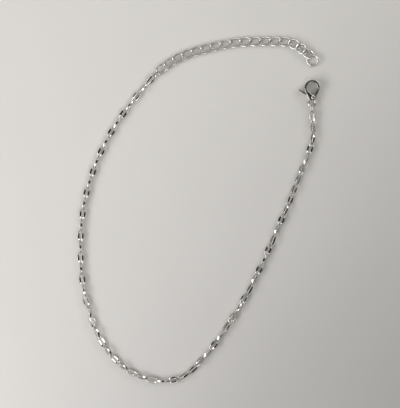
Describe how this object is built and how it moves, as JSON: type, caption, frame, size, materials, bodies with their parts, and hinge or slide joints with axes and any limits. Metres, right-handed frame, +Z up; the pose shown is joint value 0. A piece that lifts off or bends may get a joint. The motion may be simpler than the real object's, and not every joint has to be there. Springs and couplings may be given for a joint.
{
  "type": "chain anklet",
  "caption": "Slim polished steel chain anklet of domed slotted links, with an extender of twisted curb links ending in a ring and a lobster clasp, lying as an open loop.",
  "frame": {"origin": "middle of the lying anklet's box, on the surface it rests on", "axes": "+Y along the open loop, from its round end to the extender's side, +X across it towards the clasp, +Z up from the surface"},
  "size_m": [0.0782, 0.112, 0.0027],
  "materials": {
    "steel": "polished stainless steel"
  },
  "bodies": {
    "anklet": {"lip_chain_1": "steel", "lip_chain_2": "steel", "lip_chain_3": "steel", "lip_chain_4": "steel", "lip_chain_5": "steel", "extender_link_01": "steel", "extender_link_02": "steel", "extender_link_03": "steel", "extender_link_04": "steel", "extender_link_05": "steel", "extender_link_06": "steel", "extender_link_07": "steel", "extender_link_08": "steel", "extender_link_09": "steel", "extender_link_10": "steel", "extender_link_11": "steel", "extender_link_12": "steel", "extender_link_13": "steel", "extender_link_14": "steel", "extender_link_15": "steel", "extender_link_16": "steel", "extender_link_17": "steel", "extender_jump_ring": "steel", "extender_end_ring": "steel", "clasp_jump_ring": "steel", "clasp_body": "steel", "clasp_pin": "steel"},
    "lever": {"clasp_lever": "steel"}
  },
  "joints": [
    {"name": "clasp_lever_hinge", "type": "hinge", "parent": "anklet", "child": "lever", "pos_m": [0.03685, 0.03624, 0.0013], "axis": [0, 0, 1], "range_deg": [0, 28], "stiffness_Nm_per_rad": 0.003, "springref_deg": -28.65}
  ]
}
